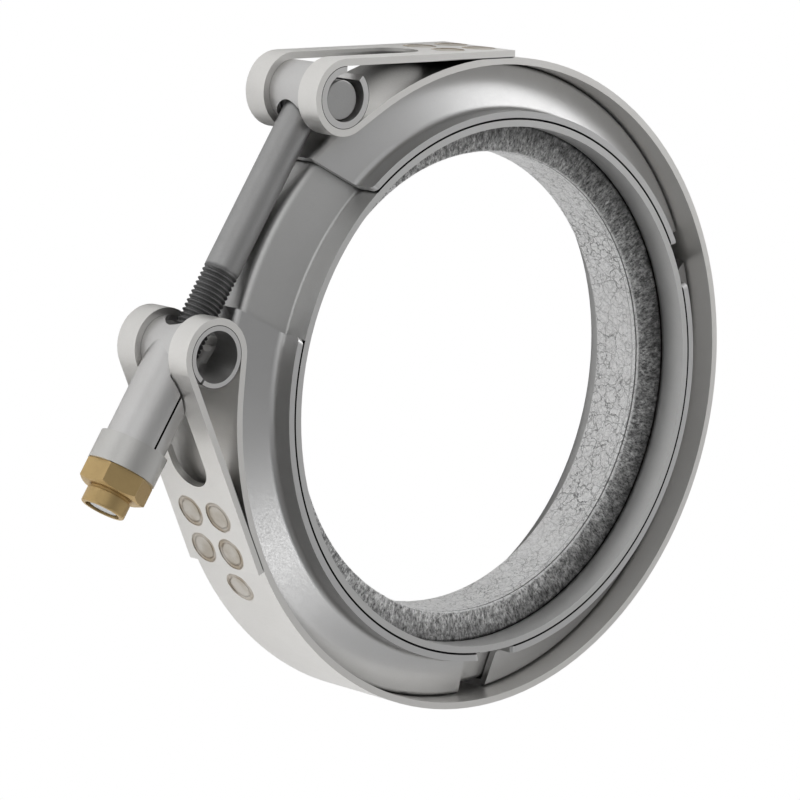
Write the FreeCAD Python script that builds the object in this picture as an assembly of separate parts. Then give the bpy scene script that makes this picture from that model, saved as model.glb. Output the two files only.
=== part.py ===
import FreeCAD, Part
import math
import os
from FreeCAD import Vector

# V band clamp with a gasket joint: a flat outer band that is looped at both ends round two
# trunnions, three V retainers spot welded inside it, a one-piece V liner, a gasket ring,
# and a T bolt that pulls the two trunnions together through a rolled leg and a lock nut.
# The clamp lies flat. Z is the axis of the ring, with z = 0 halfway through its width,
# and the latch is on the -X side. The T bolt runs along Y, from +Y (head) to -Y (nut).

# Sheet and running fits
sheet = 1.5
thin_sheet = 1.1
running_gap = 0.05
nest_gap = 0.3
liner_crown_gap = 0.46
contact_gap = 0.02
seat_gap = 0.3

# Outer band
band_width = 22.6
tail_sink = 0.1
tail_past_contact = 4.2
slot_width = 11.0
slot_tip_to_contact = 15.7

# Spot welds: flat electrode marks
weld_r = 3.6
weld_depth = 0.12
weld_pitch_along = 9.2
weld_pitch_across = 8.9
weld_inner_row_from_contact = 8.8
weld_shift_back = 0.5
lone_weld_from_contact = 11.0

# Trunnions, placed by how far the loop clears the ring and the bolt clears the liner
loop_stand_off = 0.29
bolt_to_liner_gap = 0.29797
trunnion_r = 6.6
head_slit_start = 76.0
head_slit_end = 120.0
leg_slit_angle = 265.0
leg_slit_width = 0.65

# V retainers and the liner nested inside them
flank_slope = 26.3
flank_top_half_width = 4.8
lip_reach = 14.7
v_depth = 9.81
crown_bend_r = 0.3
lip_bend_r = 1.8
liner_bend_r = 0.6
far_segment_half_angle = 50.9
side_lip_start = 60.1
side_lip_end = 162.9
side_crown_start = 57.4
side_crown_end = 165.2
segment_corner_r = 1.2

# Gasket ring
gasket_bore_r = 50.8
gasket_face_height = 6.25
gasket_bore_half_width = 6.7
gasket_face_half_width = 7.8
gasket_neck_step = 1.0
gasket_corner_r = 0.8

# T bolt
bolt_r = 3.8
head_r = 4.2
head_recess = 0.85
head_chamfer = 0.4
bolt_end_below_crown = 0.44
bolt_end_chamfer = 0.7
window_r = 4.9

# Leg, collar and lock nut, measured along the bolt from the leg trunnion's centre
leg_r = 6.55
leg_end = 27.5
leg_seam_start = 9.8
leg_seam_width = 0.4
leg_ear_gap = 0.3
notch_half_length = 6.0
collar_overlap = 5.0
collar_wall = 0.9
collar_flange = 1.3
nut_across_flats = 13.0
nut_hex_height = 4.9
nut_bevel = 0.7
nut_neck_r = 4.5
nut_neck_height = 0.5
nut_crown_r = 4.85
nut_crown_height = 3.4

# Worked out from the sizes above, from the gasket's bore outwards
mouth_r = gasket_bore_r + gasket_face_height
lip_outer_r = mouth_r + sheet + nest_gap + sheet
band_inner_r = lip_outer_r + v_depth
band_outer_r = band_inner_r + sheet
liner_crown_r = band_inner_r - sheet - liner_crown_gap
half_width = band_width / 2
band_mid_r = band_inner_r + sheet / 2
loop_inner_r = trunnion_r + running_gap
loop_outer_r = loop_inner_r + sheet
loop_mid_r = loop_inner_r + sheet / 2
tail_inner_dist = band_outer_r - tail_sink
trunnion_centre_r = band_mid_r + loop_mid_r + loop_stand_off
bolt_line = liner_crown_r + bolt_to_liner_gap + bolt_r
trunnion_half_angle = math.degrees(math.acos(bolt_line / trunnion_centre_r))
head_angle = 180 - trunnion_half_angle
leg_angle = 180 + trunnion_half_angle
strand_turn = math.degrees(math.acos((band_mid_r + loop_mid_r) / trunnion_centre_r))
tail_turn = math.degrees(
    math.acos((tail_inner_dist + sheet / 2 - loop_mid_r) / trunnion_centre_r))
head_bore_r = trunnion_r - sheet
leg_bore_r = leg_r - thin_sheet
collar_bore_r = leg_r + running_gap
collar_r = collar_bore_r + collar_wall
collar_start = leg_end - collar_overlap
collar_end = leg_end + contact_gap + collar_flange
nut_base = collar_end + contact_gap
nut_hex_top = nut_base + nut_hex_height
crown_base = nut_hex_top + nut_neck_height
crown_top = crown_base + nut_crown_height

Z = Vector(0, 0, 1)
ORIGIN = Vector(0, 0, 0)


def polar(radius, degrees, z=0.0, centre=ORIGIN):
    """Point at a radius and an angle from +X, about a centre."""
    a = math.radians(degrees)
    return centre + Vector(radius * math.cos(a), radius * math.sin(a), z)


def arc(centre, radius, start, end):
    """Arc about a centre from one angle to another, either way round."""
    middle = (start + end) / 2
    return Part.Arc(polar(radius, start, centre=centre),
                    polar(radius, middle, centre=centre),
                    polar(radius, end, centre=centre)).toShape()


def line(p, q):
    return Part.LineSegment(p, q).toShape()


def rounded_outline(corners):
    """Closed wire through (point, radius) corners, each rounded with a tangent arc."""
    edges = []
    starts = []
    ends = []
    count = len(corners)
    for i in range(count):
        point, radius = corners[i]
        before = (corners[i - 1][0] - point).normalize()
        after = (corners[(i + 1) % count][0] - point).normalize()
        if radius == 0:
            starts.append(point)
            ends.append(point)
            edges.append(None)
            continue
        half = before.getAngle(after) / 2
        reach = radius / math.tan(half)
        bisector = (before + after).normalize()
        centre = point + bisector * (radius / math.sin(half))
        starts.append(point + before * reach)
        ends.append(point + after * reach)
        middle = centre - bisector * radius
        edges.append(Part.Arc(starts[i], middle, ends[i]).toShape())
    outline = []
    for i in range(count):
        if edges[i]:
            outline.append(edges[i])
        following = starts[(i + 1) % count]
        if (following - ends[i]).Length > 1e-6:
            outline.append(line(ends[i], following))
    return Part.Wire(outline)


def turned(corners, sweep=360.0, start=0.0):
    """Solid turned about Z from (radius, height, corner radius) points."""
    points = [(Vector(r, 0, z), radius) for r, z, radius in corners]
    face = Part.Face(rounded_outline(points))
    solid = face.revolve(ORIGIN, Z, sweep)
    solid.rotate(ORIGIN, Z, start)
    return solid


def oriented(shape, origin, x_axis, z_axis):
    """Shape drawn in its own X, Y, Z frame, moved to an origin and axes."""
    y_axis = z_axis.cross(x_axis)
    matrix = FreeCAD.Matrix(
        x_axis.x, y_axis.x, z_axis.x, origin.x,
        x_axis.y, y_axis.y, z_axis.y, origin.y,
        x_axis.z, y_axis.z, z_axis.z, origin.z,
        0, 0, 0, 1)
    placed = shape.copy()
    placed.Placement = FreeCAD.Placement(matrix).multiply(shape.Placement)
    return placed


def slab(x0, x1, y0, y1, z0, z1):
    return Part.makeBox(x1 - x0, y1 - y0, z1 - z0, Vector(x0, y0, z0))


def stadium(length_low, length_high, width, depth):
    """Slot prism along X with a round end at the low side, as thick as depth along Z."""
    body = slab(length_low, length_high, -width / 2, width / 2, 0, depth)
    return body.fuse(Part.makeCylinder(width / 2, depth, Vector(length_low, 0, 0)))


HEAD_CENTRE = polar(trunnion_centre_r, head_angle)
LEG_CENTRE = polar(trunnion_centre_r, leg_angle)
ALONG_BOLT = (LEG_CENTRE - HEAD_CENTRE).normalize()
OUTWARD = Vector(-1, 0, 0)


def offset_strip(path, shift):
    """Edges of a path of lines and arcs, moved to its left by a shift."""
    edges = []
    for step in path:
        if step[0] == "line":
            way = (step[2] - step[1]).normalize()
            left = Vector(-way.y, way.x, 0) * shift
            edges.append(line(step[1] + left, step[2] + left))
        else:
            centre, radius, start, end = step[1:]
            turn = 1 if end > start else -1
            edges.append(arc(centre, radius - turn * shift, start, end))
    return edges


def end_point(edge, last):
    return edge.Vertexes[-1 if last else 0].Point


def strip_solid(path):
    """Flat strip of the sheet's thickness, standing on edge and centred on a path."""
    left = offset_strip(path, sheet / 2)
    right = offset_strip(path, -sheet / 2)
    first_cap = line(end_point(right[0], False), end_point(left[0], False))
    last_cap = line(end_point(left[-1], True), end_point(right[-1], True))
    wire = Part.Wire(Part.__sortEdges__(left + right + [first_cap, last_cap]))
    solid = Part.Face(wire).extrude(Vector(0, 0, band_width))
    solid.translate(Vector(0, 0, -half_width))
    return solid


def tail_frame():
    """Contact point, direction away from the latch and normal of the +Y tail."""
    normal_angle = head_angle - tail_turn
    normal = polar(1, normal_angle)
    along = Vector(normal.y, -normal.x, 0)
    contact = normal * tail_inner_dist
    return contact, along, normal


def half_tail():
    """Straight tail of the +Y loop, from the wrap to its cut end."""
    contact, along, normal = tail_frame()
    wrap_end = (HEAD_CENTRE - contact).dot(along)
    blank = slab(wrap_end, tail_past_contact, -half_width, half_width, 0, sheet)
    return oriented(blank, contact, along, normal)


def half_slot():
    """Cut for the bolt and the leg through the +Y loop, which leaves two ears."""
    contact, along, normal = tail_frame()
    wrap_end = (contact - HEAD_CENTRE).dot(along)
    level = (HEAD_CENTRE - contact).dot(normal)
    reach = loop_outer_r + sheet
    tail_cut = stadium(slot_tip_to_contact + slot_width / 2, wrap_end + reach, slot_width,
                       sheet * 2)
    tail_cut = oriented(tail_cut, contact - normal * (sheet / 2), along * -1, normal)
    wrap_cut = slab(wrap_end, wrap_end + reach, -slot_width / 2, slot_width / 2, 0, -level + reach)
    wrap_cut = oriented(wrap_cut, contact + normal * level, along * -1, normal)
    clear_side = bolt_r + sheet
    bolt_cut = slab(-clear_side, reach, -slot_width / 2, slot_width / 2, 0, reach)
    bolt_cut = oriented(bolt_cut, HEAD_CENTRE, OUTWARD, ALONG_BOLT)
    return tail_cut.fuse([wrap_cut, bolt_cut])


def weld_mark(point, normal):
    """Shallow flat round mark that a welding electrode leaves."""
    start = point - normal * weld_depth
    return Part.makeCylinder(weld_r, sheet, start, normal)


def weld_marks():
    contact, along, normal = tail_frame()
    marks = []
    for row in range(2):
        shift = row * weld_pitch_along - weld_inner_row_from_contact
        for side in (-1, 1):
            place = contact + along * shift + normal * sheet
            place = place + Z * (side * weld_pitch_across / 2 - weld_shift_back)
            marks.append(weld_mark(place, normal))
    turn = math.degrees(lone_weld_from_contact / band_outer_r)
    lone_normal = polar(1, head_angle - tail_turn - turn)
    marks.append(weld_mark(lone_normal * band_outer_r, lone_normal))
    far = []
    for row in (-1, 1):
        turn = math.degrees(row * weld_pitch_along / 2 / band_outer_r)
        for side in (-1, 1):
            place = polar(band_outer_r, turn, side * weld_pitch_across / 2)
            far.append(weld_mark(place, polar(1, turn)))
    mirrored = [mark.mirror(ORIGIN, Vector(0, 1, 0)) for mark in marks]
    return marks + mirrored + far


def outer_band():
    """One strip: loop, strand, ring, strand, loop, with both tails welded down on it."""
    leave = head_angle - strand_turn
    wrap_start = head_angle - tail_turn
    wrap_end = leave + 180
    head_side = [
        ("arc", HEAD_CENTRE, loop_mid_r, wrap_start, wrap_end),
        ("line", polar(loop_mid_r, wrap_end, centre=HEAD_CENTRE), polar(band_mid_r, leave)),
    ]
    leg_side = [
        ("line", polar(band_mid_r, -leave),
         polar(loop_mid_r, -wrap_end, centre=LEG_CENTRE)),
        ("arc", LEG_CENTRE, loop_mid_r, -wrap_end, -wrap_start),
    ]
    ring = [("arc", ORIGIN, band_mid_r, leave, 0.0), ("arc", ORIGIN, band_mid_r, 0.0, -leave)]
    tail = half_tail()
    slot = half_slot()
    across = Vector(0, 1, 0)
    solid = strip_solid(head_side + ring + leg_side)
    solid = solid.fuse([tail, tail.mirror(ORIGIN, across)])
    solid = solid.cut([slot, slot.mirror(ORIGIN, across)])
    return solid.cut(weld_marks()).removeSplitter()


def channel_corners(crown_r, lip_r, crown_half, bend_crown, bend_lip):
    """Corners of a V channel of the sheet, front lip to back lip, as (r, z, radius).

    The crown is flat, the flanks lean outwards by the flank's slope, and both lips are
    short cylinders that point along the axis."""
    slope = math.tan(math.radians(flank_slope))
    skew = sheet / math.cos(math.radians(flank_slope))
    outer_low = crown_half + slope * (crown_r - lip_r)
    inner_crown = crown_half - skew + slope * sheet
    inner_low = outer_low - skew + slope * sheet
    front = [
        (lip_r - sheet, lip_reach, 0),
        (lip_r, lip_reach, 0),
        (lip_r, outer_low, bend_lip),
        (crown_r, crown_half, bend_crown + sheet),
    ]
    back = [(r, -z, radius) for r, z, radius in reversed(front)]
    inner_back = [
        (lip_r - sheet, -inner_low, bend_lip + sheet),
        (crown_r - sheet, -inner_crown, bend_crown),
    ]
    inner_front = [(r, -z, radius) for r, z, radius in reversed(inner_back)]
    return front + back + inner_back + inner_front


def beyond(lip_angle, crown_angle, side):
    """Block past a segment's straight end cut, through its angles at lip and crown."""
    inner = polar(lip_outer_r, lip_angle)
    outer = polar(band_inner_r, crown_angle)
    way = (outer - inner).normalize()
    reach = band_inner_r / 3
    block = slab(-reach, reach, -band_width, band_width, 0, reach)
    return oriented(block, inner, way, Vector(-way.y, way.x, 0) * side)


def retainer(lip_start, lip_end, crown_start, crown_end):
    """V retainer segment with straight end cuts and its lips' corners rounded off."""
    corners = channel_corners(band_inner_r - contact_gap, lip_outer_r, flank_top_half_width,
                              crown_bend_r, lip_bend_r)
    first = min(lip_start, crown_start) - 1
    last = max(lip_end, crown_end) + 1
    solid = turned(corners, last - first, first)
    solid = solid.cut([beyond(lip_start, crown_start, -1), beyond(lip_end, crown_end, 1)])
    rounded = []
    for edge in solid.Edges:
        across = sheet * 0.99 < edge.Length < sheet * 1.1
        if across and abs(abs(edge.CenterOfMass.z) - lip_reach) < 0.01:
            rounded.append(edge)
    return solid.makeFillet(segment_corner_r, rounded)


def liner():
    """One-piece V liner that nests in the retainers with an even gap."""
    skew = (sheet + nest_gap) / math.cos(math.radians(flank_slope))
    slope = math.tan(math.radians(flank_slope))
    lip_r = lip_outer_r - sheet - nest_gap
    crown_half = flank_top_half_width + slope * (sheet + liner_crown_gap) - skew
    corners = channel_corners(liner_crown_r, lip_r, crown_half, liner_bend_r, liner_bend_r)
    return turned(corners), crown_half


def gasket_ring(crown_half):
    """Gasket that fills the liner's channel and stands inwards to its own bore."""
    slope = math.tan(math.radians(flank_slope))
    skew = (sheet + nest_gap) / math.cos(math.radians(flank_slope))
    outer_r = liner_crown_r - sheet - nest_gap
    outer_half = crown_half - skew + slope * (sheet + nest_gap)
    neck_r = mouth_r + gasket_neck_step
    neck_half = outer_half + slope * (outer_r - neck_r)
    front = [
        (gasket_bore_r, gasket_bore_half_width, gasket_corner_r),
        (mouth_r - contact_gap, gasket_face_half_width, 0),
        (neck_r, neck_half, 0),
        (outer_r, outer_half, 0),
    ]
    back = [(r, -z, radius) for r, z, radius in reversed(front)]
    return turned(front + back)


def slit_wedge(centre, start, end, reach, height):
    """Wedge between two angles about a centre, for a tube's open slit."""
    low = polar(reach, start, centre=centre)
    mid = polar(reach * 1.2, (start + end) / 2, centre=centre)
    high = polar(reach, end, centre=centre)
    wire = Part.makePolygon([centre, low, mid, high, centre])
    wedge = Part.Face(wire).extrude(Z * height)
    wedge.translate(Z * (-height / 2))
    return wedge


def tube(radius, bore, length, start, way):
    return Part.makeCylinder(radius, length, start, way).cut(
        Part.makeCylinder(bore, length, start, way))


def head_trunnion():
    """Rolled C tube in the +Y loop, with a round window for the bolt's shank."""
    start = HEAD_CENTRE - Z * half_width
    solid = tube(trunnion_r, head_bore_r, band_width, start, Z)
    slit = slit_wedge(HEAD_CENTRE, head_slit_start, head_slit_end, trunnion_r * 2, band_width)
    window = Part.makeCylinder(window_r, trunnion_r * 2, HEAD_CENTRE, ALONG_BOLT)
    return solid.cut([slit, window])


def t_bolt():
    """T bolt: a barrel head along Z in the head trunnion, and a long shank through the leg."""
    drop = head_bore_r - head_r - seat_gap
    centre = HEAD_CENTRE + ALONG_BOLT * drop
    head_half = half_width - head_recess
    head = Part.makeCylinder(head_r, head_half * 2, centre - Z * head_half, Z)
    rims = [edge for edge in head.Edges if edge.Closed]
    head = head.makeChamfer(head_chamfer, rims)
    end = LEG_CENTRE + ALONG_BOLT * (crown_top - bolt_end_below_crown)
    shank = Part.makeCylinder(bolt_r, (end - centre).Length, centre, ALONG_BOLT)
    tip = [edge for edge in shank.Edges if (edge.CenterOfMass - end).Length < 0.01]
    shank = shank.makeChamfer(bolt_end_chamfer, tip)
    return head.fuse(shank).removeSplitter()


def ears_keep_out():
    """Space of the -Y loop's two ears and a clearance, which the leg stays out of."""
    across = Vector(0, 1, 0)
    contact, along, normal = tail_frame()
    wrap_end = (HEAD_CENTRE - contact).dot(along)
    top = sheet + leg_ear_gap
    plate = slab(wrap_end - collar_r * 2, tail_past_contact, -half_width, half_width,
                 -loop_outer_r, top)
    plate = oriented(plate, contact, along, normal)
    round_part = Part.makeCylinder(loop_outer_r + leg_ear_gap, band_width,
                                   HEAD_CENTRE - Z * half_width, Z)
    behind = slab(wrap_end - trunnion_r * 4, wrap_end, -half_width, half_width,
                  -loop_outer_r, top)
    behind = oriented(behind, contact, along, normal)
    ears = plate.cut(behind).fuse(round_part)
    middle = slab(-loop_outer_r * 20, 0, -band_outer_r * 2, band_outer_r * 2,
                  leg_ear_gap - slot_width / 2, slot_width / 2 - leg_ear_gap)
    return ears.cut(middle).mirror(ORIGIN, across)


def leg_trunnion():
    """One rolled sheet: a slit tube in the -Y loop and the leg that the bolt runs through."""
    start = LEG_CENTRE - Z * half_width
    leg = Part.makeCylinder(leg_r, leg_end, LEG_CENTRE, ALONG_BOLT)
    leg = leg.cut(ears_keep_out())
    solid = Part.makeCylinder(trunnion_r, band_width, start, Z).fuse(leg)
    hollow = Part.makeCylinder(trunnion_r - thin_sheet, band_width, start, Z)
    hollow = hollow.fuse(Part.makeCylinder(leg_bore_r, leg_end, LEG_CENTRE, ALONG_BOLT))
    solid = solid.cut(hollow)
    notch = slab(-notch_half_length, notch_half_length, -slot_width / 2, slot_width / 2,
                 0, trunnion_r * 2)
    notch = notch.common(Part.makeCylinder(notch_half_length, trunnion_r * 2))
    solid = solid.cut(oriented(notch, LEG_CENTRE, OUTWARD, ALONG_BOLT * -1))
    seam = slab(-leg_seam_width / 2, leg_seam_width / 2, -leg_r * 2, 0, leg_seam_start, leg_end)
    solid = solid.cut(oriented(seam, LEG_CENTRE, OUTWARD, ALONG_BOLT))
    half_slit = math.degrees(leg_slit_width / 2 / trunnion_r)
    slit = slit_wedge(LEG_CENTRE, leg_slit_angle - half_slit, leg_slit_angle + half_slit,
                      trunnion_r + running_gap, band_width)
    slit = slit.cut(Part.makeCylinder(leg_r, trunnion_r * 2, LEG_CENTRE, ALONG_BOLT))
    return solid.cut(slit).removeSplitter()


def on_bolt(corners):
    """Solid turned about the bolt's axis; heights count from the leg trunnion's centre."""
    return oriented(turned(corners), LEG_CENTRE, OUTWARD, ALONG_BOLT)


def leg_collar():
    """Turned collar that holds the leg's seam shut and seats the nut."""
    hole = bolt_r + seat_gap
    seat = leg_end + contact_gap
    return on_bolt([
        (collar_bore_r, collar_start, 0),
        (collar_r, collar_start, 0),
        (collar_r, collar_end, 0),
        (hole, collar_end, 0),
        (hole, seat, 0),
        (collar_bore_r, seat, 0),
    ])


def lock_nut():
    """Hexagon nut with bevelled corners, a neck and a round locking crown."""
    base = nut_base
    top = nut_hex_top
    corner_r = nut_across_flats / 2 / math.cos(math.pi / 6)
    points = [polar(corner_r, 60 * i + 30) for i in range(7)]
    hexagon = Part.Face(Part.makePolygon(points)).extrude(Z * nut_hex_height)
    hexagon = oriented(hexagon, LEG_CENTRE + ALONG_BOLT * base, OUTWARD, ALONG_BOLT)
    bevel = on_bolt([
        (0, base, 0),
        (corner_r - nut_bevel / 2, base, 0),
        (corner_r, base + nut_bevel / 4, 0),
        (corner_r, top - nut_bevel, 0),
        (nut_across_flats / 2 - nut_bevel / 2, top, 0),
        (0, top, 0),
    ])
    crown = on_bolt([
        (0, top - nut_bevel, 0),
        (nut_neck_r, top - nut_bevel, 0),
        (nut_neck_r, crown_base, 0),
        (nut_crown_r, crown_base, 0.2),
        (nut_crown_r, crown_top, 0.4),
        (0, crown_top, 0),
    ])
    bore = Part.makeCylinder(bolt_r + running_gap, nut_hex_height * 4,
                             LEG_CENTRE + ALONG_BOLT * (base - sheet), ALONG_BOLT)
    return hexagon.common(bevel).fuse(crown).cut(bore).removeSplitter()


def save(shape, name):
    solids = shape.Solids
    if len(solids) == 1:
        shape = solids[0]
    print(name, "solids", len(solids), "valid", shape.isValid(), "volume", round(shape.Volume, 1))
    shape.exportStep("parts/" + name + ".step")


os.makedirs("parts", exist_ok=True)
far_half = far_segment_half_angle
liner_solid, liner_half = liner()
side_retainer = retainer(side_lip_start, side_lip_end, side_crown_start, side_crown_end)
save(outer_band(), "outer_band")
save(side_retainer, "retainer_head_side")
save(side_retainer.mirror(ORIGIN, Vector(0, 1, 0)), "retainer_nut_side")
save(retainer(-far_half, far_half, -far_half, far_half), "retainer_far_side")
save(liner_solid, "liner_ring")
save(gasket_ring(liner_half), "gasket_ring")
save(head_trunnion(), "head_trunnion")
save(t_bolt(), "t_bolt")
save(leg_trunnion(), "leg_trunnion")
save(leg_collar(), "leg_collar")
save(lock_nut(), "lock_nut")
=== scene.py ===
import bmesh
import bpy
import numpy as np
from mathutils import Matrix, Vector


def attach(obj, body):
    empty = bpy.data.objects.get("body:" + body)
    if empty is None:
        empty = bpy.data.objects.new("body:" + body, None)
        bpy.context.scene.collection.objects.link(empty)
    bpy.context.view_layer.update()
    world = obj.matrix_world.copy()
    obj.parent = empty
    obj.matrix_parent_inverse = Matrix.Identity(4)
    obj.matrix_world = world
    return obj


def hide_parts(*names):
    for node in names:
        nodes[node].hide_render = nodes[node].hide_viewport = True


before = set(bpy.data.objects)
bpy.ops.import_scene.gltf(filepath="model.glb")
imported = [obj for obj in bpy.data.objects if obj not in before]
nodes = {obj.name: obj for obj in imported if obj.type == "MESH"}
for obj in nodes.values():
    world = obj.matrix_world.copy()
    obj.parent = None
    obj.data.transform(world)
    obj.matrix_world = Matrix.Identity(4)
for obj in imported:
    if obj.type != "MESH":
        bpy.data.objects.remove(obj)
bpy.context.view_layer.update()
scene = bpy.context.scene

# Camera: a long lens that looks down on the clamp from its latch side, rolled as in the photo.
right = Vector((0.60638, 0.42554, 0.6717)).normalized()
back = Vector((-0.65278, -0.21596, 0.7261)).normalized()
up = back.cross(right).normalized()
right = up.cross(back)
aim = Vector((0, 0, 0.0113))
aside, above, distance = -0.019378, -0.003043, 0.9396
camera_data = bpy.data.cameras.new("camera")
camera_data.lens = 194.13
camera_data.sensor_width = 36.0
camera_data.clip_start = 0.05
camera_data.clip_end = 20.0
camera = bpy.data.objects.new("camera", camera_data)
scene.collection.objects.link(camera)
camera_turn = Matrix((right, up, back)).transposed()
camera_place = aim + right * aside + up * above + back * distance
camera.matrix_world = Matrix.Translation(camera_place) @ camera_turn.to_4x4()
scene.camera = camera

# Floor: a pale sheet just under the clamp. It takes light and shade like paper, and is plain
# white to the camera.
half_side, floor_z = 3, -0.0148
corners = [(-half_side, -half_side, floor_z), (half_side, -half_side, floor_z),
           (half_side, half_side, floor_z), (-half_side, half_side, floor_z)]
floor_mesh = bpy.data.meshes.new("floor")
floor_mesh.from_pydata(corners, [], [(0, 1, 2, 3)])
floor = bpy.data.objects.new("floor", floor_mesh)
scene.collection.objects.link(floor)
floor_material = bpy.data.materials.new("floor")
floor_material.use_nodes = True
floor_tree = floor_material.node_tree
floor_tree.nodes.clear()


def add(tree, kind, inputs=None, **settings):
    """Shader node of a kind, with its settings, and each given input set to a value or linked."""
    node = tree.nodes.new("ShaderNode" + kind)
    for setting, value in settings.items():
        setattr(node, setting, value)
    for socket, value in (inputs or {}).items():
        if isinstance(value, bpy.types.NodeSocket):
            tree.links.new(value, node.inputs[socket])
        else:
            node.inputs[socket].default_value = value
    return node


seen = add(floor_tree, "LightPath").outputs["Is Camera Ray"]
paper = add(floor_tree, "BsdfDiffuse", {"Color": (0.85, 0.85, 0.85, 1)}).outputs[0]
white = add(floor_tree, "Emission").outputs[0]
sheet = add(floor_tree, "MixShader", {0: seen, 1: paper, 2: white}).outputs[0]
add(floor_tree, "OutputMaterial", {"Surface": sheet})
floor_mesh.materials.append(floor_material)

# Light: a pale room, darker overhead, with a bright panel at the camera's left and a screen on
# the nut's side, a wide soft lamp behind the clamp, a fill, and a lamp that only lights the floor.
world = bpy.data.worlds.new("room")
world.use_nodes = True
room = world.node_tree
way_out = add(room, "TexCoord").outputs["Generated"]


def ramp(tree, value, stops):
    """Colour that follows a value through stops, each a place with one grey or three levels."""
    node = add(tree, "ValToRGB", {"Fac": value})
    elements = node.color_ramp.elements
    for stop in stops[1:-1]:
        elements.new(stop[0])
    elements[0].position = stops[0][0]
    elements[-1].position = stops[-1][0]
    for element, (_, *levels) in zip(elements, stops):
        element.color = (*np.resize(levels, 3), 1)
    return node.outputs["Color"]


def combined(tree, operation, *values):
    """Result of a Math node on sockets and numbers."""
    return add(tree, "Math", dict(enumerate(values)), operation=operation).outputs[0]


def measured(tree, operation, first, second):
    """Number that two vectors give, such as the distance between them or their dot product."""
    return add(tree, "VectorMath", {0: first, 1: second}, operation=operation).outputs["Value"]


def near_direction(way, outer, inner, amount):
    """Amount that grows smoothly as a ray turns towards a direction, by the cosine between them."""
    cosine = measured(room, "DOT_PRODUCT", way_out, Vector(way).normalized())
    span = {"Value": cosine, "From Min": outer, "From Max": inner, "To Max": amount}
    return add(room, "MapRange", span, interpolation_type="SMOOTHSTEP").outputs[0]


overhead = add(room, "SeparateXYZ", {0: way_out}).outputs["Z"]
walls = ramp(room, overhead, ((0.0, 0.52), (0.5, 0.56), (0.72, 0.42), (0.86, 0.44), (0.97, 0.28)))
panel = near_direction((-0.85, 0.15, 0.5), 0.86, 0.97, 0.32)
screen = near_direction((-0.14, -0.91, 0.37), 0.78, 0.97, 0.36)
lit = combined(room, "SUBTRACT", combined(room, "ADD", walls, panel), screen)
room.links.new(lit, room.nodes["Background"].inputs["Color"])
scene.world = world
scene.view_settings.view_transform = "Standard"


def softbox(name, location, target, size, power):
    """Square area lamp at a location that faces a target."""
    data = bpy.data.lights.new(name, "AREA")
    data.size = size
    data.energy = power
    lamp = bpy.data.objects.new(name, data)
    scene.collection.objects.link(lamp)
    lamp.location = location
    way = Vector(target) - Vector(location)
    lamp.rotation_euler = way.to_track_quat("-Z", "Y").to_euler()
    return lamp


softbox("key", location=(0.58, 0.92, 0.32), target=(0, 0, 0), size=1.0, power=4.6)
softbox("fill", location=(0.25, -0.62, 0.85), target=(0, 0, 0), size=0.4, power=0.8)
floor_lamp = softbox("floor_lamp", location=(-0.3, -0.4, 0.7), target=(-0.12, -0.12, -0.015),
                     size=0.4, power=4.4)
floor_lamp.visible_glossy = False

# Outer band: one strip of bright rolled stainless sheet, bent to a ring by machine, with both
# ends looped round the trunnions, folded back and spot welded. The electrodes leave pale discs
# with tan rims, and painted shade darkens the wedge where a tail meets its strand. Sizes in millimetres.
band_outer = 71.66
tail_inner, tail_outer = 71.56, 73.06
contact_angle = np.radians(122.57)
weld_aside, weld_shift_back = 4.45, 0.5
tail_weld_rows = (-8.8, 0.4)
lone_weld_past_contact = 11.0
far_weld_from_middle = 4.6
weld_mark_reach = 4.0


def mapped(tree, value, low, high, out_low, out_high):
    """Socket that runs from out_low to out_high while another one runs from low to high."""
    span = {"From Min": low, "From Max": high, "To Min": out_low, "To Max": out_high}
    return add(tree, "MapRange", {"Value": value, **span}).outputs[0]


def product(tree, first, *others):
    """Product of sockets and numbers."""
    result = first
    for other in others:
        result = combined(tree, "MULTIPLY", result, other)
    return result


def noise(tree, place, scale, detail, roughness=0.5):
    """Noise texture's number at a place."""
    settings = {"Vector": place, "Scale": scale, "Detail": detail, "Roughness": roughness}
    return add(tree, "TexNoise", settings).outputs["Fac"]


def mixed(tree, amount, first, second, blend_type="MIX"):
    """Colour that goes from a first to a second one by an amount."""
    colors = {0: amount, 6: first, 7: second}
    return add(tree, "Mix", colors, data_type="RGBA", blend_type=blend_type).outputs[2]


def effect_group(name, takes, gives):
    """Empty node group with named sockets, and the sockets at its two ends seen from inside."""
    group = bpy.data.node_groups.new(name, "ShaderNodeTree")
    for way, sockets in (("INPUT", takes), ("OUTPUT", gives)):
        for socket, kind in sockets.items():
            group.interface.new_socket(socket, in_out=way, socket_type="NodeSocket" + kind)
    given = group.nodes.new("NodeGroupInput").outputs
    made = group.nodes.new("NodeGroupOutput").inputs
    return group, given, made


# Satin steel: fine mill grain and soft stains that vary the colour, roughness and bump.
steel, given, made = effect_group(
    "satin_steel", {"Color": "Color", "Roughness": "Float", "Stain": "Float"},
    {"Base Color": "Color", "Roughness": "Float", "Normal": "Vector"})
place = add(steel, "TexCoord").outputs["Object"]
grain = noise(steel, place, 2600, 4)
clouds = noise(steel, place, 95, 5, 0.62)
stain = product(steel, mapped(steel, clouds, 0.3, 0.7, 0, 1), given["Stain"])
stained = mixed(steel, stain, given["Color"], (0.62, 0.6, 0.57, 1), "MULTIPLY")
grainy = combined(steel, "ADD", given["Roughness"], mapped(steel, grain, 0.35, 0.65, -0.05, 0.06))
duller = combined(steel, "MULTIPLY_ADD", stain, 0.15, grainy)
relief = add(steel, "Bump", {"Height": grain, "Strength": 0.12, "Distance": 0.00006}).outputs[0]
steel.links.new(stained, made["Base Color"])
steel.links.new(duller, made["Roughness"])
steel.links.new(relief, made["Normal"])

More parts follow.
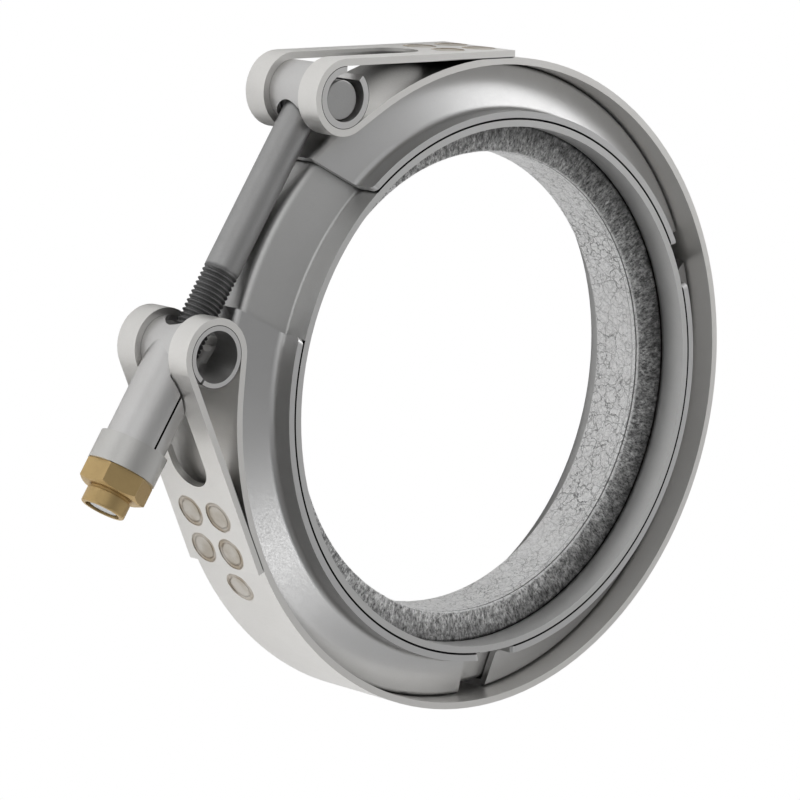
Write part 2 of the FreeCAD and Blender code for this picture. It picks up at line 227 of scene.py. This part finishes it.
# Ring place: distance from the ring's axis, angle about it and height along it.
ring_place, _, made = effect_group(
    "ring_place", {}, {"Radius": "Float", "Angle": "Float", "Height": "Float"})
place = add(ring_place, "TexCoord").outputs["Object"]
x, y, z = add(ring_place, "SeparateXYZ", {0: place}).outputs
squares = combined(ring_place, "ADD", product(ring_place, x, x), product(ring_place, y, y))
ring_place.links.new(combined(ring_place, "SQRT", squares), made["Radius"])
ring_place.links.new(combined(ring_place, "ARCTAN2", y, x), made["Angle"])
ring_place.links.new(z, made["Height"])

# Second tone: a colour that goes over to another by an amount, as for painted shade, a dark joint or a
# darker thread.
second_tone, given, made = effect_group(
    "second_tone", {"Color": "Color", "Tone": "Color", "Amount": "Float"}, {"Base Color": "Color"})
blend = mixed(second_tone, given["Amount"], given["Color"], given["Tone"])
second_tone.links.new(blend, made["Base Color"])


def toned(tree, color, tone, amount):
    """Colour socket of the second tone group, for a colour, a tone and an amount."""
    inputs = {"Color": color, "Tone": (*tone, 1), "Amount": amount}
    return add(tree, "Group", inputs, node_tree=second_tone).outputs["Base Color"]


def steel_material(name, color, roughness, stain):
    """Material of satin steel, with its tree, the group's outputs and the shader's inputs."""
    material = bpy.data.materials.new(name)
    material.use_nodes = True
    tree = material.node_tree
    shader_in = tree.nodes["Principled BSDF"].inputs
    shader_in["Metallic"].default_value = 1.0
    inputs = {"Color": (*color, 1), "Roughness": roughness, "Stain": stain}
    steel_out = add(tree, "Group", inputs, node_tree=steel).outputs
    for socket in ("Base Color", "Roughness", "Normal"):
        tree.links.new(steel_out[socket], shader_in[socket])
    return material, tree, steel_out, shader_in


def dress(name, material):
    """Gives a node of the frame its material."""
    mesh = nodes[name].data
    mesh.materials.clear()
    mesh.materials.append(material)


band_steel, tree, steel_out, shader_in = steel_material(
    "band_steel", color=(0.80, 0.79, 0.77), roughness=0.42, stain=0.10)
place = add(tree, "TexCoord").outputs["Object"]
x, y, z = add(tree, "SeparateXYZ", {0: place}).outputs
radius = add(tree, "Group", node_tree=ring_place).outputs["Radius"]

# The welds lie alike on both sides of the latch and of the band's middle, so the place is folded
# over both, and each weld is stated once.
either_side = combined(tree, "ABSOLUTE", y)
either_edge = combined(tree, "ABSOLUTE", combined(tree, "ADD", z, weld_shift_back / 1000))
folded = add(tree, "CombineXYZ", {"X": x, "Y": either_side, "Z": either_edge}).outputs[0]
outwards = np.array([np.cos(contact_angle), np.sin(contact_angle)])
onwards = np.array([outwards[1], -outwards[0]])
spots = [(*(outwards * tail_outer + onwards * row), weld_aside) for row in tail_weld_rows]
for angle, spot_z in ((contact_angle - lone_weld_past_contact / band_outer, 0),
                      (far_weld_from_middle / band_outer, weld_aside)):
    spots.append((band_outer * np.cos(angle), band_outer * np.sin(angle), spot_z))
gaps = [measured(tree, "DISTANCE", folded, [size / 1000 for size in spot]) for spot in spots]
nearest = gaps[0]
for gap in gaps[1:]:
    nearest = combined(tree, "MINIMUM", nearest, gap)
wobble = mapped(tree, noise(tree, place, 420, 2), 0.3, 0.7, -0.00012, 0.00012)
indoors = mapped(tree, radius, 0.0710, 0.0712, 1, 0)
off_centre = combined(tree, "ADD", combined(tree, "ADD", nearest, wobble), indoors)
reach = mapped(tree, off_centre, 0, weld_mark_reach / 1000, 0, 1)
# The dark inner ring is partly heat tint and partly painted shade of the sunk dish.
discs = ramp(tree, reach, ((0.0, 0.64, 0.60, 0.54), (0.55, 0.62, 0.57, 0.50),
                           (0.64, 0.57, 0.51, 0.43), (0.70, 0.32, 0.26, 0.20),
                           (0.75, 0.54, 0.47, 0.38), (0.86, 0.64, 0.56, 0.46),
                           (0.905, 0.42, 0.36, 0.29), (0.93, 0.93, 0.91, 0.88), (1.0, 1.0)))
tarnish = mapped(tree, noise(tree, place, 230, 2), 0.38, 0.62, 0.6, 1)
welded = mixed(tree, tarnish, steel_out["Base Color"], discs, "MULTIPLY")

# Painted shade fills the wedge between a strand and its tail, heavier on the head's side, and a dark line
# draws their joint on the band's edges.
contact = (*(outwards * tail_inner / 1000), 0)
from_contact = add(tree, "VectorMath", {0: folded, 1: contact}, operation="SUBTRACT").outputs[0]
outward = measured(tree, "DOT_PRODUCT", from_contact, (*outwards, 0))
onward = measured(tree, "DOT_PRODUCT", from_contact, (*onwards, 0))
below_tail = mapped(tree, outward, 0.0006, 0.0009, 1, 0)
to_contact = mapped(tree, onward, -0.034, -0.014, 0, 0.95)
towards_head = mapped(tree, y, -0.01, 0.01, 0.2, 1)
before_contact = mapped(tree, onward, 0.0, 0.0004, 1, 0)
past_ring = mapped(tree, radius, 0.0712, 0.0714, 0, 1)
off_edge = mapped(tree, combined(tree, "ABSOLUTE", z), 0.01118, 0.01126, 1, 0)
wedge = product(tree, below_tail, to_contact, towards_head, before_contact, past_ring, off_edge)
at_joint = mapped(tree, combined(tree, "ABSOLUTE", outward), 0.00010, 0.00018, 0.9, 0)
joint_start = mapped(tree, onward, -0.020, -0.012, 0, 1)
joint_end = mapped(tree, onward, 0.0034, 0.0042, 1, 0)
on_edge = combined(tree, "SUBTRACT", 1, off_edge)
joint_line = product(tree, at_joint, joint_start, joint_end, on_edge)
painted_shade_and_joints = combined(tree, "MAXIMUM", wedge, joint_line)
tree.links.new(toned(tree, welded, (0.03, 0.03, 0.03), painted_shade_and_joints), shader_in["Base Color"])
dish = ramp(tree, reach, ((0.0, 0.75), (0.62, 0.75), (0.70, 0.35), (0.80, 0.35), (0.90, 1.0), (1.0, 1.0)))
sunk = add(tree, "Bump", {"Height": dish, "Normal": steel_out["Normal"], "Strength": 0.8,
                          "Distance": 0.0008})
tree.links.new(sunk.outputs[0], shader_in["Normal"])
dress("outer_band", band_steel)

# Retainers: three V segments of pressed stainless sheet, spot welded inside the band. Painted
# shade darkens them in the narrow gap to the liner, and under the band beside their crowns.
# Near black, for painted shade and for dark joints.
painted_shade_and_joint_black = (0.012, 0.012, 0.012)
retainer_steel, tree, steel_out, shader_in = steel_material(
    "retainer_steel", color=(0.62, 0.62, 0.62), roughness=0.35, stain=0.10)
radius, angle, height = add(tree, "Group", node_tree=ring_place).outputs
in_gap = combined(tree, "LESS_THAN", radius, 0.05893)
at_band = mapped(tree, radius, 0.0694, 0.0701, 0, 0.85)
off_crown = mapped(tree, combined(tree, "ABSOLUTE", height), 0.0036, 0.0044, 0, 1)
inside_band = combined(tree, "LESS_THAN", combined(tree, "ABSOLUTE", angle), np.radians(151))
painted_shade_and_joints = combined(tree, "MAXIMUM", in_gap, product(tree, at_band, off_crown, inside_band))
tree.links.new(toned(tree, steel_out["Base Color"], painted_shade_and_joint_black, painted_shade_and_joints), shader_in["Base Color"])
for name in ("retainer_head_side", "retainer_nut_side", "retainer_far_side"):
    dress(name, retainer_steel)

# Liner: one continuous V ring of the same sheet, a little darker, nested loose in the retainers.
# Its lips carry painted shade on the outside where the retainers' lips cover them.
liner_steel, tree, steel_out, shader_in = steel_material(
    "liner_steel", color=(0.63, 0.63, 0.625), roughness=0.40, stain=0.12)
radius, angle, height = add(tree, "Group", node_tree=ring_place).outputs
turn = combined(tree, "ABSOLUTE", angle)
under_far = combined(tree, "LESS_THAN", turn, np.radians(50.5))
past_start = combined(tree, "GREATER_THAN", turn, np.radians(60.5))
before_end = combined(tree, "LESS_THAN", turn, np.radians(162.4))
covered = combined(tree, "ADD", under_far, product(tree, past_start, before_end))
on_lip = mapped(tree, combined(tree, "ABSOLUTE", height), 0.0105, 0.0115, 0, 1)
outside = combined(tree, "GREATER_THAN", radius, 0.05849)
painted_shade_and_joints = product(tree, on_lip, covered, outside)
tree.links.new(toned(tree, steel_out["Base Color"], painted_shade_and_joint_black, painted_shade_and_joints), shader_in["Base Color"])
dress("liner_ring", liner_steel)

# Gasket ring: a core wrapped in thin foil and pressed into the liner's channel. The foil is
# crinkled on the bore, ruffled on the faces, which are sooty and carry painted shade towards their outer
# rims, and rolled over at the corners.
steps, spacing = 1280, 0.36
mean_r, bore_top, face_base = 51, 6.7, 6.3
face_rim, rim_fade = 57.1, 1.5
fold_height, fold_waves = 0.05, 14
outline = np.array([(66.2, 2.5), (58.1, 6.6), (57.02, 7.8), (56.2, 7.62), (51.5, 6.82),
                    (51.05, 6.66), (50.84, 6.35), (50.8, 6.1), (50.8, -6.5), (51.0, -6.72),
                    (56.2, -7.62), (57.02, -7.8), (58.1, -6.6), (66.2, -2.5), (66.2, 2.5)])
length = np.concatenate([[0], np.cumsum(np.hypot(*np.diff(outline, axis=0).T))])
run = np.concatenate([length[:2], np.arange(length[2], length[-4], spacing), length[-4:]])[:, None]
profile_r = np.interp(run, length, outline[:, 0])
profile_z = np.interp(run, length, outline[:, 1])
turns = np.linspace(0, 2 * np.pi, steps, endpoint=False)[None, :]
rng = np.random.default_rng(7)


def folds(turn, run, count, low, high):
    """Sum of random waves round the ring (whole numbers of them) and across it."""
    total = np.zeros(np.broadcast_shapes(turn.shape, run.shape))
    for _ in range(count):
        waves = rng.integers(low, high)
        across = rng.uniform(-0.9, 0.9) * waves / mean_r
        total = total + np.sin(waves * turn + across * run + rng.uniform(0, 6.28))
    return total / np.sqrt(count)


def ring_surface(name, rings, material):
    """Smooth mesh of quads between rows of points, each row joined round.

    Points that fall together, as at a pole or where the last row meets the first, are merged.
    """
    rows, columns = rings.shape[:2]
    index = np.arange(rows * columns).reshape(rows, columns)
    index = np.hstack([index, index[:, :1]])
    quads = np.stack([index[:-1, :-1], index[:-1, 1:], index[1:, 1:], index[1:, :-1]], -1)
    mesh = bpy.data.meshes.new(name)
    mesh.from_pydata(rings.reshape(-1, 3).tolist(), [], quads.reshape(-1, 4).tolist())
    shell = bmesh.new()
    shell.from_mesh(mesh)
    bmesh.ops.remove_doubles(shell, verts=shell.verts, dist=1e-7)
    shell.to_mesh(mesh)
    shell.free()
    mesh.polygons.foreach_set("use_smooth", np.ones(len(mesh.polygons), bool))
    mesh.materials.append(material)
    surface = bpy.data.objects.new(name, mesh)
    scene.collection.objects.link(surface)
    return surface


# The outline is turned about the axis. The foil is lifted by sharp ridges, which lie where two
# sets of folds are near zero: outwards on the bore, along the axis on the faces.
coarse = np.abs(folds(turns, run, fold_waves, 40, 160))
fine = np.abs(folds(turns, run, fold_waves, 90, 260))
lump = fold_height * np.clip(1 - coarse - fine * 0.6, -1.2, 1)
free = np.clip((face_rim - profile_r) / rim_fade, 0, 1)
bore_lump = lump * free * (np.abs(profile_z) < bore_top)
face_lump = lump * free * np.sign(profile_z) * (np.abs(profile_z) >= face_base)
foil_r = profile_r + bore_lump
rings = np.stack([foil_r * np.cos(turns), foil_r * np.sin(turns), profile_z + face_lump], -1) / 1000
gasket_foil, tree, steel_out, shader_in = steel_material(
    "gasket_foil", color=(0.92, 0.92, 0.92), roughness=0.34, stain=0.15)
place = add(tree, "TexCoord").outputs["Object"]
wander = add(tree, "TexNoise", {"Vector": place, "Scale": 520, "Detail": 3}).outputs
bent = add(tree, "VectorMath", {0: wander["Color"], 1: (0.003, 0.003, 0.003), 2: place},
           operation="MULTIPLY_ADD").outputs[0]
cracks = []
for scale, width, strength in ((360, 0.035, 1), (820, 0.06, 0.45)):
    cells = add(tree, "TexVoronoi", {"Vector": bent, "Scale": scale}, feature="DISTANCE_TO_EDGE")
    cracks.append(mapped(tree, cells.outputs["Distance"], 0, width, strength, 0))
patches = noise(tree, place, 70, 3)
drawn = product(tree, combined(tree, "MAXIMUM", *cracks), mapped(tree, patches, 0.35, 0.65, 0.3, 0.9))
mottle = mapped(tree, noise(tree, place, 1500, 4, 0.75), 0.35, 0.65, 0.82, 1.08)
radius, angle, height = add(tree, "Group", node_tree=ring_place).outputs
from_rim = combined(tree, "ABSOLUTE", combined(tree, "SUBTRACT", height, 0.0060))
from_seam = combined(tree, "ABSOLUTE", combined(tree, "SUBTRACT", height, 0.0047))
rim_line = mapped(tree, from_rim, 0.00010, 0.00026, 0.12, 1)
seam_line = mapped(tree, from_seam, 0.00005, 0.00022, 0.72, 1)
bore_tone = product(tree, combined(tree, "SUBTRACT", 1, drawn), mottle, rim_line, seam_line)
drawn_out = add(tree, "CombineXYZ", {"X": product(tree, angle, 0.053),
                                     "Y": product(tree, radius, 0.5), "Z": height}).outputs[0]
ruffle = mapped(tree, noise(tree, drawn_out, 2100, 6, 0.75), 0.36, 0.66, 0.08, 1.2)
pleats = mapped(tree, noise(tree, drawn_out, 820, 2), 0.35, 0.65, 0.55, 1.35)
# The face is painted lighter near the bore, a painted sheen, and darker out towards the liner, partly
# soot and partly painted shade.
soot_shade_and_sheen = mapped(tree, radius, 0.0513, 0.0573, 1.2, 0.24)
worn = mapped(tree, patches, 0.3, 0.7, 0.65, 1.1)
face_tone = product(tree, ruffle, pleats, soot_shade_and_sheen, worn)
on_face = mapped(tree, radius, 0.0509, 0.0512, 0, 1)
tone = add(tree, "Mix", {0: on_face, 2: bore_tone, 3: face_tone}).outputs[0]
foil_color = mixed(tree, tone, (0.02, 0.02, 0.02, 1), steel_out["Base Color"])
tree.links.new(foil_color, shader_in["Base Color"])
crease = add(tree, "Bump", {"Height": tone, "Strength": 0.7, "Distance": 0.0003}).outputs[0]
crumple = add(tree, "Bump", {"Height": wander["Fac"], "Normal": crease, "Strength": 0.8,
                             "Distance": 0.0004})
tree.links.new(crumple.outputs[0], shader_in["Normal"])
gasket = ring_surface("gasket_foil", rings, gasket_foil)
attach(gasket, "clamp_body")
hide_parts("gasket_ring")

# Trunnions: tubes rolled from satin sheet, one in each loop. The lower one's sheet goes on as a
# leg round the bolt. The joint round each tube's end and the leg's open seam are dark.
bolt_x, trunnion_y = -72.298, 30.838
trunnion_steel, tree, steel_out, shader_in = steel_material(
    "trunnion_steel", color=(0.65, 0.645, 0.64), roughness=0.40, stain=0.10)
place = add(tree, "TexCoord").outputs["Object"]
x, y, z = add(tree, "SeparateXYZ", {0: place}).outputs
across = combined(tree, "SUBTRACT", x, bolt_x / 1000)
along = combined(tree, "SUBTRACT", combined(tree, "ABSOLUTE", y), trunnion_y / 1000)
squares = combined(tree, "ADD", product(tree, across, across), product(tree, along, along))
at_rim = mapped(tree, combined(tree, "SQRT", squares), 0.00646, 0.00652, 0, 1)
at_end = combined(tree, "GREATER_THAN", combined(tree, "ABSOLUTE", z), 0.01115)
beside_seam = combined(tree, "LESS_THAN", combined(tree, "ABSOLUTE", across), 0.00026)
on_leg = combined(tree, "LESS_THAN", y, -0.0405)
on_front = combined(tree, "GREATER_THAN", z, 0.003)
seam = product(tree, beside_seam, on_leg, on_front)
painted_shade_and_joints = combined(tree, "MAXIMUM", product(tree, at_rim, at_end), seam)
tree.links.new(toned(tree, steel_out["Base Color"], painted_shade_and_joint_black, painted_shade_and_joints), shader_in["Base Color"])
for name in ("head_trunnion", "leg_trunnion"):
    dress(name, trunnion_steel)

# T bolt: forged steel, with a barrel head that lies across it in the upper trunnion, and a
# rolled thread that is darker than the shank. The thread is a real helix on the surface.
shank_r, root_r, pitch = 3.8, 3.17, 1.0583
head_y, thread_y, end_y = 30.24, -11.84, -68.04
start_past_axis, thread_run_in = 1.2, 1.5
bevel_length, bevel_depth = 0.7, 0.6
valley_half = 0.44
plain = np.linspace(head_y - start_past_axis, thread_y + 0.01, 30)
threaded = np.arange(thread_y, end_y, -pitch / 12)
stations = np.concatenate([plain, threaded, [end_y]])


def bolt_radius(y, turn):
    """Radius of the shank: plain, then a 60 degree V helix with a small flat crest, then a bevel.

    A point's phase is its distance past the thread's start in pitches, plus its share of a turn.
    """
    depth = np.clip((thread_y - y) / thread_run_in, 0, 1)
    phase = np.mod((thread_y - y) / pitch + turn / (2 * np.pi), 1)
    valley = np.clip(1 - np.abs(phase - 0.5) / valley_half, 0, 1)
    bevel = np.clip((bevel_length - (y - end_y)) / bevel_length, 0, 1)
    return (shank_r - (shank_r - root_r) * valley * depth) - bevel_depth * bevel


turns, levels = np.meshgrid(np.linspace(0, 2 * np.pi, 72, endpoint=False), stations)
radii = bolt_radius(levels, turns)
rings = np.stack([bolt_x + radii * np.cos(turns), levels, radii * np.sin(turns)], -1)
start = np.array([bolt_x, stations[0], 0])
end = np.array([bolt_x, end_y, 0])
flat = end + (rings[-1:] - end) * 0.97
rings = np.concatenate([flat * 0 + start, rings, flat, flat * 0 + end]) / 1000
bolt_steel, tree, steel_out, shader_in = steel_material(
    "bolt_steel", color=(0.42, 0.42, 0.42), roughness=0.42, stain=0.2)
place = add(tree, "TexCoord").outputs["Object"]
y = add(tree, "SeparateXYZ", {0: place}).outputs["Y"]
on_thread = mapped(tree, y, (thread_y + 0.2) / 1000, (thread_y - 0.4) / 1000, 0, 1)
on_end = mapped(tree, y, (end_y + 0.8) / 1000, (end_y + 0.1) / 1000, 0, 1)
blackened = toned(tree, steel_out["Base Color"], (0.19, 0.19, 0.19), on_thread)
tree.links.new(toned(tree, blackened, (0.66, 0.68, 0.70), on_end), shader_in["Base Color"])
shank = ring_surface("bolt_shank", rings, bolt_steel)
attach(shank, "bolt")
head_r, head_half, rounding = 4.2, 10.45, 0.3
flat_margin, corner_share = 0.08, 0.3
upper = [(0, head_half), (head_r - rounding - flat_margin, head_half), (head_r - rounding, head_half),
         (head_r - rounding * corner_share, head_half - rounding * corner_share),
         (head_r, head_half - rounding), (head_r, head_half - rounding - flat_margin), (head_r, 0)]
barrel = np.array(upper + [(r, -z) for r, z in upper[-2::-1]])
turns = np.linspace(0, 2 * np.pi, 96, endpoint=False)
rings = np.stack([bolt_x + barrel[:, :1] * np.cos(turns), head_y + barrel[:, :1] * np.sin(turns),
                  np.repeat(barrel[:, 1:], len(turns), 1)], -1) / 1000
head = ring_surface("bolt_head", rings[::-1], bolt_steel)
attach(head, "bolt")
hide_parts("t_bolt")

# Leg collar: a turned steel ring, pressed over the end of the leg. It holds the leg's seam shut
# and is the seat of the nut.
collar_steel, *_ = steel_material(
    "collar_steel", color=(0.61, 0.605, 0.59), roughness=0.38, stain=0.08)
dress("leg_collar", collar_steel)

# Lock nut: a steel hexagon nut, plated yellow brown, with a round crown that is squeezed to
# grip the thread.
nut_plating, *_ = steel_material(
    "nut_plating", color=(0.58, 0.42, 0.20), roughness=0.40, stain=0.35)
dress("lock_nut", nut_plating)
